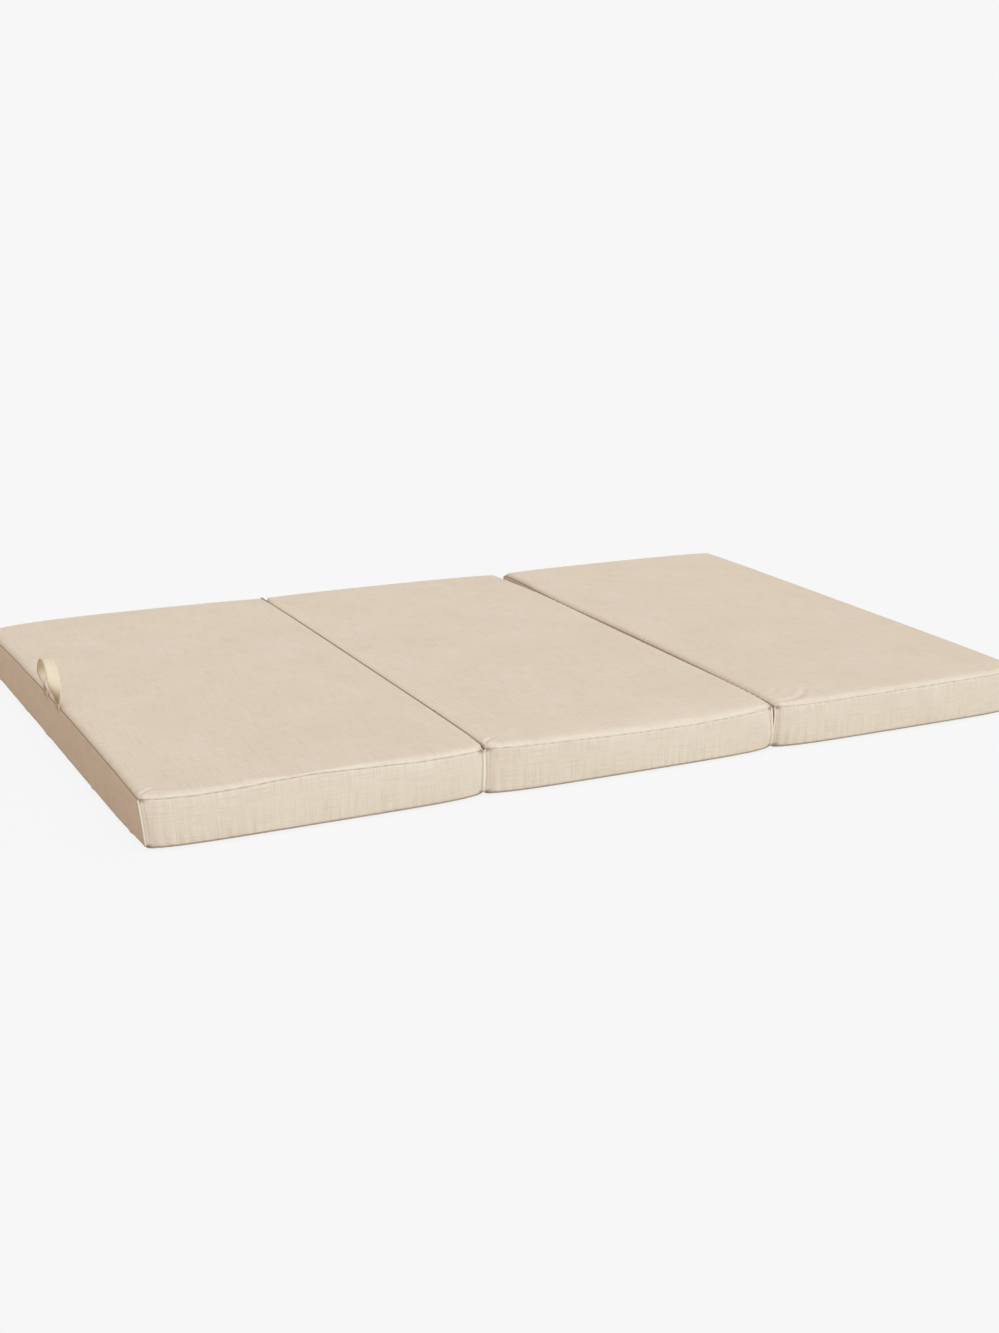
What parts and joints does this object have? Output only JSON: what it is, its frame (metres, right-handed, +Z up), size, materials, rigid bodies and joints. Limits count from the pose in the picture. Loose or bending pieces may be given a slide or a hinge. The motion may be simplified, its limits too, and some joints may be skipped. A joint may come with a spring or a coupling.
{
  "type": "folding futon mattress",
  "caption": "Beige cotton futon mattress of boxed foam panels joined by fabric hinges, with zipped covers and a strap handle at one end.",
  "frame": {"origin": "centre of the middle panel's underside, on the floor", "axes": "+X along the mattress away from the handle end, +Y towards the long side with the zips, +Z up"},
  "size_m": [1.9331, 1.2065, 0.1855],
  "materials": {
    "cotton_canvas": "natural beige plain-weave cotton canvas",
    "foam": "cream open-cell polyurethane foam",
    "cotton_webbing": "folded and topstitched canvas strap",
    "zip_tape": "woven polyester zip tape",
    "zip_nylon": "beige nylon coil",
    "zip_enamel": "beige enamelled zinc"
  },
  "bodies": {
    "left_panel": {"foam_core_left": "foam", "cover_top_left": "cotton_canvas", "cover_bottom_left": "cotton_canvas", "band_front_left": "cotton_canvas", "band_handle_end_left": "cotton_canvas", "band_far_end_left": "cotton_canvas", "band_back_lower_left": "cotton_canvas", "band_back_upper_left": "cotton_canvas", "zip_tape_left": "zip_tape", "zip_coil_left": "zip_nylon", "hinge_strip_top": "cotton_canvas"},
    "left_zip_slider": {"zip_slider_left": "zip_enamel"},
    "left_zip_pull": {"zip_pull_left": "zip_enamel"},
    "middle_panel": {"foam_core_middle": "foam", "cover_top_middle": "cotton_canvas", "cover_bottom_middle": "cotton_canvas", "band_front_middle": "cotton_canvas", "band_handle_end_middle": "cotton_canvas", "band_far_end_middle": "cotton_canvas", "band_back_lower_middle": "cotton_canvas", "band_back_upper_middle": "cotton_canvas", "zip_tape_middle": "zip_tape", "zip_coil_middle": "zip_nylon", "hinge_strip_bottom": "cotton_canvas"},
    "middle_zip_slider": {"zip_slider_middle": "zip_enamel"},
    "middle_zip_pull": {"zip_pull_middle": "zip_enamel"},
    "right_panel": {"foam_core_right": "foam", "cover_top_right": "cotton_canvas", "cover_bottom_right": "cotton_canvas", "band_front_right": "cotton_canvas", "band_handle_end_right": "cotton_canvas", "band_far_end_right": "cotton_canvas", "band_back_lower_right": "cotton_canvas", "band_back_upper_right": "cotton_canvas", "zip_tape_right": "zip_tape", "zip_coil_right": "zip_nylon"},
    "right_zip_slider": {"zip_slider_right": "zip_enamel"},
    "right_zip_pull": {"zip_pull_right": "zip_enamel"},
    "handle": {"handle_strap": "cotton_webbing"}
  },
  "joints": [
    {"name": "fold_left", "type": "hinge", "parent": "left_panel", "child": "middle_panel", "pos_m": [-0.318, 0, 0.101], "axis": [0, -1, 0], "range_deg": [0, 180], "deforming": ["hinge_strip_top", "handle_strap"]},
    {"name": "fold_right", "type": "hinge", "parent": "middle_panel", "child": "right_panel", "pos_m": [0.318, 0, -0.001], "axis": [0, 1, 0], "range_deg": [0, 180], "deforming": ["hinge_strip_bottom"]},
    {"name": "handle_swing", "type": "hinge", "parent": "left_panel", "child": "handle", "pos_m": [-0.952, 0, 0.102], "axis": [0, 1, 0], "range_deg": [-145, 30]},
    {"name": "zip_travel_left", "type": "slide", "parent": "left_panel", "child": "left_zip_slider", "axis": [-1, 0, 0], "range_m": [0, 0.55]},
    {"name": "zip_pull_swing_left", "type": "hinge", "parent": "left_zip_slider", "child": "left_zip_pull", "pos_m": [-0.3575, 0.60471, 0.0512], "axis": [1, 0, 0], "range_deg": [0, 170]},
    {"name": "zip_travel_middle", "type": "slide", "parent": "middle_panel", "child": "middle_zip_slider", "axis": [-1, 0, 0], "range_m": [0, 0.55]},
    {"name": "zip_pull_swing_middle", "type": "hinge", "parent": "middle_zip_slider", "child": "middle_zip_pull", "pos_m": [0.2785, 0.60471, 0.0512], "axis": [1, 0, 0], "range_deg": [0, 170]},
    {"name": "zip_travel_right", "type": "slide", "parent": "right_panel", "child": "right_zip_slider", "axis": [-1, 0, 0], "range_m": [0, 0.55]},
    {"name": "zip_pull_swing_right", "type": "hinge", "parent": "right_zip_slider", "child": "right_zip_pull", "pos_m": [0.9145, 0.60471, 0.0512], "axis": [1, 0, 0], "range_deg": [0, 170]}
  ]
}
